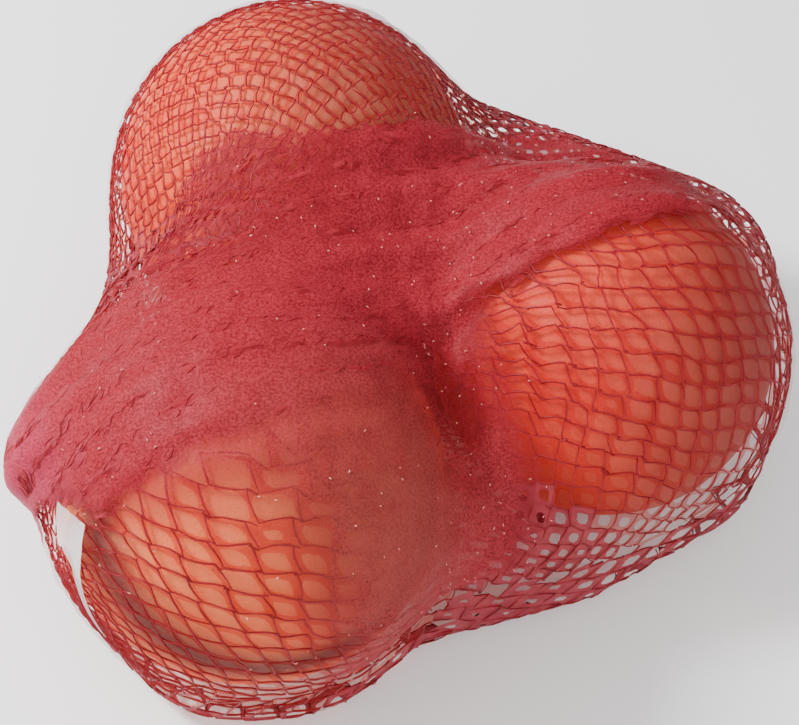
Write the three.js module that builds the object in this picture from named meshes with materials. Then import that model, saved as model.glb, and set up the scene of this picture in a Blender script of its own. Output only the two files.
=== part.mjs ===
// Three pomelos in a knitted net bag, lying on a table.
//
// The bag is one closed solid out to the net's outer side: the net is stretched over each fruit, spans from
// fruit to fruit like a belt, hangs off them to the table, sinks into a cleft between the two nearest fruits,
// and its slack mouth is folded back over the top, where it ends on the left in a rounded roll.
// A strip of white film, the bag's bare label, comes out from under that roll and lies on the front fruit.
//
// Millimetres. +X is right, +Y is away from the viewer, +Z is up, and the table is the plane z = 0.

import * as THREE from "three";
import { mergeVertices } from "three/addons/utils/BufferGeometryUtils.js";

// ---------------------------------------------------------------- driving dimensions

// Each fruit rests on the table, so its centre is its radius high. The radius runs to the net's outer side.
const ORIGIN = { x: 5.53, y: 7.18 }; // the plan point of the fruits' own layout that is the part's origin
const BACK_FRUIT = fruitAt(-31.8, 61.6, 55.2);
const RIGHT_FRUIT = fruitAt(59.1, 1.9, 51.2);
const FRONT_FRUIT = fruitAt(-40.8, -48.9, 55.7);
const FRUITS = [BACK_FRUIT, RIGHT_FRUIT, FRONT_FRUIT];
const FRUIT_JOIN = 7; // how far the net rounds the corner where it leaves one fruit for the next

// The belt: the net that hangs round the fruits to the table. In plan it is two hulls, one round the back and
// front fruits and one round the back and right fruits, so that it draws in between the front and right ones.
// Each hull is a ring of corners, anticlockwise, and the net's outer side runs BELT_REACH outside them.
const BELT_REACH = 39;
const LEFT_HULL = [at(-46, 60), at(-57.5, -46), at(-45, -59), at(-33, -58), at(-24, 75), at(-38, 74)];
const RIGHT_HULL = [at(-42, 68), at(-8, -37), at(41, -23), at(74, -3), at(78, 12), at(77, 32.5), at(-20, 78)];
const HULL_JOIN = 10;
const BELT_TOP = 66;
const BELT_TOP_ROUND = 30;
const BELT_FOOT_ROUND = 12; // the net turns in under the fruits before it meets the table
const BELT_JOIN = 12;

// The bridges: the net stretched over the valleys between the fruits' tops.
const LEFT_BRIDGE = 44; // radius of the bridge from the back fruit to the front fruit
const RIGHT_BRIDGE = 34; // and of the one from the back fruit to the right fruit
const HUB = { centre: at(-2, -2, 62), radius: 22 }; // the ball that fills the hollow between all three
const BRIDGE_JOIN = 18;

// The roll: the folded end of the bag's mouth, on the front fruit's left shoulder. It narrows to its tip.
const ROLL_TIP = { centre: at(-94, -49.5, 69), radius: 12.5 };
const ROLL_ROOT = { centre: at(-62, -14, 75), radius: 22 };
const ROLL_JOIN = 8;

// The mouth's folds, which run over the top to the roll.
const FOLD_START = at(84, 40);
const FOLD_END = at(-96, -38);
const FOLD_REACH = 52; // half of the width that the folds cover, in plan
const FOLD_NARROWING = 0.35; // share of that reach that is gone by the roll's tip
const FOLD_SHEET = 1.6; // thickness that the folded-back layers add
const FOLD_PITCH = 17;
const FOLD_DEPTH = 1.1;
const FOLD_WANDERS = [
  { sway: 5, turn: 5.1, phase: 0.6 },
  { sway: 2.5, turn: 11.7, phase: 2.0 },
]; // how the folds wind: millimetres to each side, and radians over the folds' whole length
const FOLD_FLOOR = 62; // height under which there are no folds
const FOLD_FADE = 22;

const BAG_CENTRE = at(3.2, 7, 46); // the point that every part of the bag's surface faces
const BAG_DETAIL = 19; // faces along each edge of the icosahedron, less one
const BAG_REACH = 150; // a distance from BAG_CENTRE that is outside the bag everywhere
const TABLE_SNAP = 0.01; // a point lower than this lies on the table

// The label strip's stations, each placed by its direction from the front fruit's centre, in degrees. The
// strip is a broad tab at the roll, and below its neck it is drawn out into a narrow tail.
const LABEL_TOP = { azimuth: -150.5, elevation: 25.5, width: 13.5 };
const LABEL_SHOULDER = { azimuth: -146.5, elevation: 20.5, width: 12.5 };
const LABEL_NECK = { azimuth: -141.5, elevation: 14.5, width: 4 };
const LABEL_END = { azimuth: -132, elevation: -8.5, width: 1.4 };
const LABEL_STATIONS = [LABEL_TOP, LABEL_SHOULDER, LABEL_NECK, LABEL_END];
const LABEL_THICKNESS = 0.6;
const LABEL_GAP = 0.4; // clear of the net that it lies on
const LABEL_STEPS = 15; // five from each station to the next
const LABEL_ACROSS = 5;

const NET_RED = 0xb3263a;
const FILM_WHITE = 0xf1eeee;

// ---------------------------------------------------------------- helpers

/** A point in the part's frame from one in the fruits' own layout. */
function at(x, y, z = 0) {
  return new THREE.Vector3(x - ORIGIN.x, y - ORIGIN.y, z);
}

/** A fruit that rests on the table. */
function fruitAt(x, y, radius) {
  return { centre: at(x, y, radius), radius };
}

/** The smaller of two distances, with the corner between them filled in over a width. */
function smoothMin(a, b, width) {
  const share = Math.max(width - Math.abs(a - b), 0) / width;
  return Math.min(a, b) - (share * share * width) / 4;
}

/** The larger of two distances, with the corner between them rounded off over a width. */
function smoothMax(a, b, width) {
  return -smoothMin(-a, -b, width);
}

/** Distance from a point to the round rod from ball `a` to ball `b`, which widens evenly between them. */
function rod(point, a, b) {
  const along = b.centre.clone().sub(a.centre);
  const run = point.clone().sub(a.centre).dot(along) / Math.max(along.lengthSq(), 1e-9);
  const share = THREE.MathUtils.clamp(run, 0, 1);
  const radius = THREE.MathUtils.lerp(a.radius, b.radius, share);
  return point.distanceTo(a.centre.clone().addScaledVector(along, share)) - radius;
}

/** Signed distance in plan from a point to a convex polygon, given anticlockwise. */
function planDistance(point, corners) {
  let outside = Infinity;
  let inside = -Infinity;
  corners.forEach((a, i) => {
    const b = corners[(i + 1) % corners.length];
    const edge = new THREE.Vector2(b.x - a.x, b.y - a.y);
    const offset = new THREE.Vector2(point.x - a.x, point.y - a.y);
    const share = THREE.MathUtils.clamp(offset.dot(edge) / edge.lengthSq(), 0, 1);
    outside = Math.min(outside, offset.clone().addScaledVector(edge, -share).length());
    inside = Math.max(inside, (offset.x * edge.y - offset.y * edge.x) / edge.length());
  });
  return inside > 0 ? outside : inside;
}

// ---------------------------------------------------------------- the bag's form

/** Distance to the three fruits as the net covers them. */
function fruitsDistance(point) {
  const distances = FRUITS.map((fruit) => point.distanceTo(fruit.centre) - fruit.radius);
  return distances.reduce((a, b) => smoothMin(a, b, FRUIT_JOIN));
}

/** Distance to the belt: a low slab with a round shoulder and a foot that turns in. */
function beltDistance(point) {
  const plan = smoothMin(planDistance(point, LEFT_HULL), planDistance(point, RIGHT_HULL), HULL_JOIN);
  const shoulder = smoothMax(plan - BELT_REACH, point.z - BELT_TOP, BELT_TOP_ROUND);
  return smoothMax(shoulder, -point.z, BELT_FOOT_ROUND);
}

/** Distance to the net over the valleys between the fruits' tops. */
function bridgesDistance(point) {
  const bridge = (a, b, radius) => rod(point, { centre: a.centre, radius }, { centre: b.centre, radius });
  const left = bridge(BACK_FRUIT, FRONT_FRUIT, LEFT_BRIDGE);
  const right = bridge(BACK_FRUIT, RIGHT_FRUIT, RIGHT_BRIDGE);
  return smoothMin(smoothMin(left, right, BRIDGE_JOIN), rod(point, HUB, HUB), BRIDGE_JOIN);
}

/** How far the folded-back mouth stands out at a point: its layers' thickness and its folds. */
function foldHeight(point) {
  const { smoothstep } = THREE.MathUtils;
  const along = FOLD_END.clone().sub(FOLD_START);
  const length = along.length();
  along.normalize();
  const offset = point.clone().setZ(0).sub(FOLD_START);
  const run = offset.dot(along) / length;
  const across = offset.x * along.y - offset.y * along.x;
  const reach = FOLD_REACH * (1 - FOLD_NARROWING * smoothstep(run, 0.6, 1.1));
  const inBand = smoothstep(reach - Math.abs(across), 0, FOLD_FADE);
  const onTop = smoothstep(point.z, FOLD_FLOOR, FOLD_FLOOR + FOLD_FADE);
  const wander = FOLD_WANDERS.reduce((sum, w) => sum + w.sway * Math.sin(run * w.turn + w.phase), 0);
  const fold = Math.sin(((across + wander) / FOLD_PITCH) * 2 * Math.PI);
  return inBand * onTop * (FOLD_SHEET + FOLD_DEPTH * fold);
}

/** Signed distance from a point to the net's outer side, close to the surface. */
function bagDistance(point) {
  const slung = smoothMin(beltDistance(point), bridgesDistance(point), BRIDGE_JOIN);
  const covered = smoothMin(slung, fruitsDistance(point), BELT_JOIN);
  const rolled = smoothMin(covered, rod(point, ROLL_TIP, ROLL_ROOT), ROLL_JOIN);
  return Math.max(rolled - foldHeight(point), -point.z);
}

/** The outermost point of the bag in a direction from its centre, found by stepping in from outside. */
function surfacePoint(direction, start = BAG_REACH, centre = BAG_CENTRE) {
  const CLOSE = 1e-3;
  const SAFE_STEP = 0.7;
  let reach = start;
  for (let step = 0; step < 200; step += 1) {
    const gap = bagDistance(centre.clone().addScaledVector(direction, reach));
    if (Math.abs(gap) < CLOSE) break;
    reach -= gap * SAFE_STEP;
  }
  const point = centre.clone().addScaledVector(direction, reach);
  if (point.z < TABLE_SNAP) point.z = 0;
  return point;
}

/** The bag: an icosahedron's fine mesh drawn in on to the form. */
function makeBag() {
  const sphere = new THREE.IcosahedronGeometry(1, BAG_DETAIL);
  sphere.deleteAttribute("normal");
  sphere.deleteAttribute("uv");
  const bag = mergeVertices(sphere, 1e-5);
  const position = bag.getAttribute("position");
  const direction = new THREE.Vector3();
  for (let i = 0; i < position.count; i += 1) {
    direction.fromBufferAttribute(position, i).normalize();
    const point = surfacePoint(direction);
    position.setXYZ(i, point.x, point.y, point.z);
  }
  bag.computeVertexNormals();
  return bag;
}

// ---------------------------------------------------------------- the label strip

/** Direction from a fruit's centre, given in degrees. */
function direction(azimuth, elevation) {
  const a = THREE.MathUtils.degToRad(azimuth);
  const e = THREE.MathUtils.degToRad(elevation);
  return new THREE.Vector3(Math.cos(a) * Math.cos(e), Math.sin(a) * Math.cos(e), Math.sin(e));
}

/** The middle of the strip and its width at a share of the way through its stations. */
function labelStation(share) {
  const last = LABEL_STATIONS.length - 1;
  const number = Math.min(Math.floor(share * last), last - 1);
  const [above, below] = LABEL_STATIONS.slice(number, number + 2);
  const mix = (key) => THREE.MathUtils.lerp(above[key], below[key], share * last - number);
  return { middle: direction(mix("azimuth"), mix("elevation")), width: mix("width") };
}

/** The strip: a thin band that follows the net over the front fruit. */
function makeLabel() {
  const sideways = labelStation(0).middle.cross(labelStation(1).middle).normalize();
  const { centre, radius } = FRONT_FRUIT;
  const rows = [];
  for (let i = 0; i <= LABEL_STEPS; i += 1) {
    const { middle, width } = labelStation(i / LABEL_STEPS);
    const inner = [];
    const outer = [];
    for (let j = 0; j <= LABEL_ACROSS; j += 1) {
      const shift = (width * (j / LABEL_ACROSS - 0.5)) / radius;
      const ray = middle.clone().addScaledVector(sideways, shift).normalize();
      const net = surfacePoint(ray, 1.5 * radius, centre);
      inner.push(net.clone().addScaledVector(ray, LABEL_GAP));
      outer.push(net.clone().addScaledVector(ray, LABEL_GAP + LABEL_THICKNESS));
    }
    rows.push([...outer, ...inner.reverse()]);
  }
  const ring = rows[0].length;
  const index = [];
  for (let i = 0; i < LABEL_STEPS; i += 1) {
    for (let j = 0; j < ring; j += 1) {
      const a = i * ring + j;
      const b = i * ring + ((j + 1) % ring);
      index.push(a, a + ring, b, b, a + ring, b + ring);
    }
  }
  const last = LABEL_STEPS * ring;
  for (let j = 0; j < LABEL_ACROSS; j += 1) {
    const a = [j, j + 1, ring - 2 - j, ring - 1 - j];
    index.push(a[0], a[1], a[2], a[0], a[2], a[3]);
    index.push(last + a[0], last + a[2], last + a[1], last + a[0], last + a[3], last + a[2]);
  }
  const strip = new THREE.BufferGeometry().setFromPoints(rows.flat()).setIndex(index);
  strip.computeVertexNormals();
  return strip;
}

// ---------------------------------------------------------------- the object

/** A named mesh with its own material. */
function part(name, geometry, color, roughness) {
  const material = new THREE.MeshStandardMaterial({ color, roughness, metalness: 0 });
  const mesh = new THREE.Mesh(geometry, material);
  mesh.name = name;
  return mesh;
}

const netOfPomelos = new THREE.Group();
netOfPomelos.add(part("net_bag", makeBag(), NET_RED, 0.45));
netOfPomelos.add(part("label_strip", makeLabel(), FILM_WHITE, 0.35));

export default netOfPomelos;
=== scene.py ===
"""Three pomelos in a slack knitted net bag: the looks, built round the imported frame.

The bag's solid gives the form. Here it is replaced by the three fruits and by the net itself, which is
knitted strand by strand over that form: wales run up from under the bag and gather at its mouth, and courses
join them into cells. The mouth's slack, which is folded back over the top, is one fine knitted layer under a
veil. The veil stands for all the layers there whose cells can't be told apart.

Lengths are millimetres in this file, and metres only where a mesh, a lamp or the camera is handed over.
"""

from __future__ import annotations

import logging
import math
from collections.abc import Sequence
from dataclasses import dataclass, replace
from enum import Enum

import bmesh
import bpy
import numpy as np
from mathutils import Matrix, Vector
from mathutils.bvhtree import BVHTree

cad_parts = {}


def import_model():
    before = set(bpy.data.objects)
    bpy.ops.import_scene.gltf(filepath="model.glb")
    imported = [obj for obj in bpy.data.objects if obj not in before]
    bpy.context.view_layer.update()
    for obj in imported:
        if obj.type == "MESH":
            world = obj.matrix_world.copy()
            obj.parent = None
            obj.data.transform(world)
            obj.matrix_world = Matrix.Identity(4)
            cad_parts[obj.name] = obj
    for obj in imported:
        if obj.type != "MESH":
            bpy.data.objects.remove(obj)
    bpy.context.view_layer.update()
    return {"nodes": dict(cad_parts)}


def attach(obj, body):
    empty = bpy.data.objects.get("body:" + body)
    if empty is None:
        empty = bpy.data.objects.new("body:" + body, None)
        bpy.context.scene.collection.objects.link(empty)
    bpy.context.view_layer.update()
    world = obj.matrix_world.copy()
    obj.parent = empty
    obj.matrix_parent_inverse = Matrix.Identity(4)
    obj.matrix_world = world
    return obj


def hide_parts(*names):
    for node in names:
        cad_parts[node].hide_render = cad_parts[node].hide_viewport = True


log = logging.getLogger("net_of_pomelos")

Array = np.ndarray
Point = tuple[float, float, float]
Colour = tuple[float, float, float]
Node = bpy.types.Node
Socket = bpy.types.NodeSocket
Material = bpy.types.Material
Piece = bpy.types.Object

MILLIMETRE = 0.001
WHITE: Colour = (1.0, 1.0, 1.0)
BAG_NODE = "net_bag"
STRIP_NODE = "label_strip"

# The fruits' centres. Each fruit rests on the table, so the height of its centre is its radius in the net.
BACK_PLACE: Point = (-37.33, 54.42, 55.2)
RIGHT_PLACE: Point = (53.57, -5.28, 51.2)
FRONT_PLACE: Point = (-46.33, -56.08, 55.7)


class Slot(Enum):
    """The record's material slots."""

    NET = "net"
    FILM = "film"
    PEEL = "peel"


# ---------------------------------------------------------------- small helpers


def unit(vectors: Array) -> Array:
    """Vectors scaled to length one, along their last axis."""
    return vectors / np.maximum(np.linalg.norm(vectors, axis=-1, keepdims=True), 1e-9)


def inside_outline(points: Array, outline: Sequence[tuple[float, float]]) -> Array:
    """Says which points lie inside an outline, seen from above.

    Args:
        points: Positions, with x, y and z along the last axis.
        outline: The outline's corners in plan.

    Returns:
        True for each point inside.
    """
    x, y = points[..., 0], points[..., 1]
    inside = np.zeros(x.shape, bool)
    for (ax, ay), (bx, by) in zip(outline, (*outline[1:], outline[0])):
        crosses = (ay > y) != (by > y)
        inside ^= crosses & (x < (bx - ax) * (y - ay) / (by - ay + 1e-12) + ax)
    return inside


def hanging(points: Array) -> Array:
    """How far the net hangs clear of the nearest fruit at each point."""
    fruits = (BACK_PLACE, RIGHT_PLACE, FRONT_PLACE)
    return np.min([np.linalg.norm(points - np.array(place), axis=-1) - place[2] for place in fruits], axis=0)


def dimmed(colour: Colour, share: float) -> Colour:
    """A colour at a share of its brightness."""
    return tuple(share * c for c in colour)


@dataclass(frozen=True)
class Ripple:
    """A smooth random field over space: a sum of plane waves.

    Args:
        seed: Seed of the waves' directions and phases.
        length: Mean wavelength.
        height: Largest value that the field comes near.
        waves: Number of waves in the sum.
    """

    seed: int
    length: float
    height: float
    waves: int = 6

    def at(self, points: Array) -> Array:
        """The field's value at each point."""
        rng = np.random.default_rng(self.seed)
        total = np.zeros(points.shape[:-1])
        for _ in range(self.waves):
            turn = unit(rng.normal(size=3)) * 2 * np.pi / (self.length * rng.uniform(0.7, 1.4))
            total += np.sin(points @ turn + rng.uniform(0, 2 * np.pi))
        return self.height * total / math.sqrt(self.waves)

    def pushes(self, points: Array) -> Array:
        """A random displacement at each point, as three such fields."""
        parts = [Ripple(self.seed + 101 * i, self.length, self.height, self.waves) for i in (1, 2, 3)]
        return np.stack([part.at(points) for part in parts], axis=-1)


@dataclass(frozen=True)
class Pleats:
    """Long ridges side by side, such as a folded net has.

    Args:
        heading: Direction of the ridges in plan, in degrees.
        pitch: Distance between them.
        height: How far they stand up.
        wander: Field that bends them.
    """

    heading: float
    pitch: float
    height: float
    wander: Ripple

    def at(self, points: Array) -> Array:
        """The ridges' height at each point."""
        angle = math.radians(self.heading)
        across = points[..., 1] * math.cos(angle) - points[..., 0] * math.sin(angle)
        turn = 2 * np.pi * (across + self.wander.at(points)) / self.pitch
        return self.height * (1 - np.abs(np.sin(turn / 2)) * 2)


@dataclass(frozen=True)
class Patchwork:
    """A number that changes smoothly from place to place.

    Args:
        usual: Its usual value.
        patches: Places with another value, each as its centre, its reach and its value.
    """

    PULL = 5.0

    usual: float
    patches: tuple[tuple[Point, float, float], ...] = ()

    def at(self, points: Array) -> Array:
        """The number at each point, where a patch's centre weighs `PULL` times what the usual value does."""
        total = np.full(points.shape[:-1], self.usual)
        weight = np.ones(points.shape[:-1])
        for centre, reach, value in self.patches:
            away = np.linalg.norm(points - np.array(centre), axis=-1)
            near = self.PULL * np.exp(-(away**2) / (2 * reach**2))
            total += near * value
            weight += near
        return total / weight


@dataclass(frozen=True)
class Region:
    """A part of the bag, by its outline seen from above.

    Args:
        outline: The outline's corners in plan.
        above: Lowest height that belongs to it.
        fray: Field that makes its edge uneven.
    """

    outline: tuple[tuple[float, float], ...]
    above: float = 0.0
    fray: Ripple = Ripple(5, 24.0, 1.6)

    def holds(self, points: Array) -> Array:
        """Says which points belong to the region."""
        return inside_outline(points + self.fray.pushes(points), self.outline) & (points[..., 2] > self.above)

    def depth(self, points: Array) -> Array:
        """How far inside the region's uneven edge each point is, seen from above."""
        place = (points + self.fray.pushes(points))[..., :2]
        corners = np.array(self.outline, float)
        nearest = np.full(place.shape[:-1], np.inf)
        for a, b in zip(corners, np.roll(corners, -1, axis=0)):
            share = np.clip((place - a) @ (b - a) / max(float((b - a) @ (b - a)), 1e-9), 0, 1)
            nearest = np.minimum(nearest, np.linalg.norm(place - a - share[..., None] * (b - a), axis=-1))
        return np.where(self.holds(points), nearest, 0.0)


# ---------------------------------------------------------------- finishes


class Shader:
    """Builds one node material."""

    def __init__(self, name: str) -> None:
        """Makes an empty material.

        Args:
            name: The material's name.
        """
        self.material = bpy.data.materials.new(name)
        self.material.use_nodes = True
        self.tree = self.material.node_tree
        self.tree.nodes.clear()
        self.place = self.node("ShaderNodeTexCoord").outputs["Object"]

    def node(self, kind: str, inputs: dict | None = None, **settings: object) -> Node:
        """Adds a node.

        Args:
            kind: The node's type.
            inputs: Values or sockets for its inputs, by name or number.
            settings: Values for its own properties.

        Returns:
            The node.
        """
        node = self.tree.nodes.new(kind)
        for key, value in settings.items():
            setattr(node, key, value)
        for key, value in (inputs or {}).items():
            if isinstance(value, Socket):
                self.tree.links.new(value, node.inputs[key])
            else:
                node.inputs[key].default_value = value
        return node

    def noise(self, scale: float, detail: float = 2.0, rough: float = 0.5) -> Socket:
        """A noise texture's value, with its scale in features per metre."""
        inputs = {"Vector": self.place, "Scale": scale, "Detail": detail, "Roughness": rough}
        return self.node("ShaderNodeTexNoise", inputs).outputs[0]

    def ramp(self, value: Socket, low: float, high: float) -> Socket:
        """A value spread from 0 at `low` to 1 at `high`."""
        inputs = {"Value": value, "From Min": low, "From Max": high}
        return self.node("ShaderNodeMapRange", inputs, interpolation_type="SMOOTHSTEP").outputs[0]

    def between(self, share: Socket, low: float, high: float) -> Socket:
        """A number from `low` to `high`, by a share from 0 to 1."""
        return self.node("ShaderNodeMapRange", {"Value": share, "To Min": low, "To Max": high}).outputs[0]

    def near(self, place: Point, reach: float) -> Socket:
        """1 at a place and 0 beyond a distance from it, both given in millimetres."""
        inputs = {0: self.place, 1: [MILLIMETRE * c for c in place]}
        away = self.node("ShaderNodeVectorMath", inputs, operation="DISTANCE").outputs["Value"]
        return self.ramp(away, reach * MILLIMETRE, 0.0)

    def mix(self, share: Socket | float, first: Socket | Colour, second: Socket | Colour) -> Socket:
        """A colour between two."""
        ends = [(*c, 1.0) if isinstance(c, tuple) else c for c in (first, second)]
        return self.node("ShaderNodeMix", {0: share, 6: ends[0], 7: ends[1]}, data_type="RGBA").outputs[2]

    def bump(self, height: Socket, depth: float, strength: float, over: Socket | None = None) -> Socket:
        """A normal roughened by a height, its depth in metres, on top of another normal if there is one."""
        inputs = {"Height": height, "Distance": depth, "Strength": strength}
        if over is not None:
            inputs["Normal"] = over
        return self.node("ShaderNodeBump", inputs).outputs[0]

    def blend(self, share: Socket | float, first: Node, second: Node) -> Node:
        """A mix of two shaders."""
        return self.node("ShaderNodeMixShader", {0: share, 1: first.outputs[0], 2: second.outputs[0]})

    def plastic(
        self,
        colour: Socket,
        glow: float,
        roughness: float,
        normal: Socket,
        ior: float = 1.5,
        shine: float = 0.5,
    ) -> Node:
        """A thin plastic's shader.

        Args:
            colour: Its colour.
            glow: Share of the light that it spreads to its other side.
            roughness: Roughness of its surface.
            normal: Its roughened normal.
            ior: Its index of refraction.
            shine: Strength of its highlights.

        Returns:
            The shader.
        """
        inputs = {"Base Color": colour, "Roughness": roughness, "Normal": normal, "IOR": ior}
        inputs["Specular IOR Level"] = shine
        body = self.node("ShaderNodeBsdfPrincipled", inputs)
        through = self.node("ShaderNodeBsdfTranslucent", {"Color": colour})
        return self.blend(glow, body, through)

    def straight(self, tint: Colour = WHITE) -> Node:
        """The shader of light that goes straight through, tinted."""
        return self.node("ShaderNodeBsdfTransparent", {"Color": (*tint, 1.0)})

    def finish(self, surface: Node) -> Material:
        """Ends the material in this shader."""
        self.node("ShaderNodeOutputMaterial", {"Surface": surface.outputs[0]})
        return self.material


@dataclass(frozen=True)
class NetFinish:
    """Thin knitted plastic.

    Args:
        name: The material's name.
        bright: Colour where the plastic is thin.
        deep: Colour where it is thick or doubled.
        roughness: Roughness of its surface.
        glow: Share of the light that it spreads to its other side.
        clear: Share of the light that goes straight through.
        tint: Colour of that light.
        shine: Strength of its highlights.
        grain: How strongly its fibres darken it.
        pale: Its colour at `pale_place`.
        pale_place: Place where it is palest.
        pale_reach: Distance from there at which it has its usual colour.
    """

    name: str
    bright: Colour
    deep: Colour
    roughness: float
    glow: float
    clear: float = 0.0
    tint: Colour = (1.0, 0.6, 0.56)
    shine: float = 0.3
    grain: float = 0.3
    pale: Colour | None = None
    pale_place: Point = (-105.0, -62.0, 72.0)
    pale_reach: float = 70.0

    def material(self) -> Material:
        """The finish as a node material."""
        shader = Shader(self.name)
        streaks = shader.ramp(shader.noise(260.0, 3.0, 0.6), 0.32, 0.68)
        fibres = shader.ramp(shader.noise(1100.0, 2.0, 0.7), 0.36, 0.62)
        colour = shader.mix(streaks, self.deep, self.bright)
        if self.pale:
            colour = shader.mix(shader.near(self.pale_place, self.pale_reach), colour, self.pale)
        colour = shader.mix(fibres, shader.mix(self.grain, colour, self.deep), colour)
        normal = shader.bump(shader.noise(1400.0, 2.0), 0.0002, 0.35)
        surface = shader.plastic(colour, self.glow, self.roughness, normal, shine=self.shine)
        if self.clear:
            surface = shader.blend(self.clear, surface, shader.straight(self.tint))
        return shader.finish(surface)


@dataclass(frozen=True)
class VeilFinish:
    """Many layers of fine net over each other, see-through in between by the mesh's own `Veil.DENSITY`.

    Args:
        name: The material's name.
        bright: Colour of its lighter threads.
        deep: Colour between them.
        pale: Its colour at `pale_place`.
        pale_place: Place where it is palest.
        pale_reach: Distance from there at which it has its usual colour.
        shade_brown: Its colour at shade_place, a painted shade over the front fruit's shaded right side.
        shade_place: Place where that painted shade is deepest.
        shade_reach: Distance from there at which it has its usual colour.
        roughness: Roughness of its threads.
        glow: Share of the light that it spreads to its other side.
        ior: Its index of refraction.
        shine: Strength of its highlights.
    """

    name: str = "net_veil"
    bright: Colour = (0.48, 0.034, 0.055)
    deep: Colour = (0.28, 0.012, 0.022)
    pale: Colour = (0.7, 0.075, 0.15)
    pale_place: Point = (-112.0, -66.0, 66.0)
    pale_reach: float = 42.0
    # Painted shade: browner over the front fruit's shaded right side.
    shade_brown: Colour = (0.4, 0.07, 0.058)
    shade_place: Point = (-12.0, -84.0, 84.0)
    shade_reach: float = 62.0
    roughness: float = 0.5
    glow: float = 0.35
    ior: float = 1.45
    shine: float = 0.14

    def material(self) -> Material:
        """The finish as a node material."""
        shader = Shader(self.name)
        threads = shader.ramp(shader.noise(1500.0, 3.0, 0.75), 0.36, 0.64)
        blotches = shader.ramp(shader.noise(130.0, 3.0, 0.6), 0.3, 0.7)
        colour = shader.mix(threads, self.deep, self.bright)
        # Painted shade: the veil turns browner over the front fruit's shaded right side.
        shade_brown = shader.mix(threads, dimmed(self.shade_brown, 0.82), self.shade_brown)
        colour = shader.mix(shader.near(self.shade_place, self.shade_reach), colour, shade_brown)
        pale = shader.mix(threads, dimmed(self.pale, 0.8), self.pale)
        colour = shader.mix(shader.near(self.pale_place, self.pale_reach), colour, pale)
        colour = shader.mix(blotches, shader.mix(0.22, colour, self.deep), colour)
        normal = shader.bump(shader.noise(1300.0, 3.0, 0.7), 0.0003, 0.4)
        threaded = shader.plastic(colour, self.glow, self.roughness, normal, self.ior, self.shine)
        density = shader.node("ShaderNodeAttribute", attribute_name=Veil.DENSITY).outputs["Fac"]
        uneven = shader.between(threads, 0.84, 1.06)
        cover = shader.node("ShaderNodeMath", {0: density, 1: uneven}, operation="MULTIPLY", use_clamp=True)
        return shader.finish(shader.blend(cover.outputs[0], shader.straight(), threaded))


@dataclass(frozen=True)
class FilmFinish:
    """Milky plastic film, creased and partly see-through.

    Args:
        name: The material's name.
        colour: Its colour.
        warm: Its colour in patches near its top.
        roughness: Roughness of its surface.
        glow: Share of the light that it spreads to its other side.
        clear: Share of the light that goes straight through.
        top: Place of its top.
        top_reach: Distance over which it changes from its top.
        top_clear: That share at the top.
    """

    name: str = "white_film"
    colour: Colour = (0.96, 0.94, 0.93)
    warm: Colour = (0.82, 0.6, 0.64)
    roughness: float = 0.18
    glow: float = 0.35
    clear: float = 0.08
    top: Point = (-93.0, -78.0, 84.0)
    top_reach: float = 15.0
    top_clear: float = 0.5

    def material(self) -> Material:
        """The finish as a node material."""
        shader = Shader(self.name)
        milk = shader.ramp(shader.noise(160.0, 3.0), 0.4, 0.7)
        upper = shader.near(self.top, self.top_reach)
        colour = shader.mix(milk, self.colour, shader.mix(upper, self.colour, self.warm))
        normal = shader.bump(shader.noise(420.0, 4.0, 0.6), 0.0006, 0.6)
        milky = shader.plastic(colour, self.glow, self.roughness, normal)
        clear = shader.between(upper, self.clear, self.top_clear)
        return shader.finish(shader.blend(clear, milky, shader.straight()))


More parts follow.
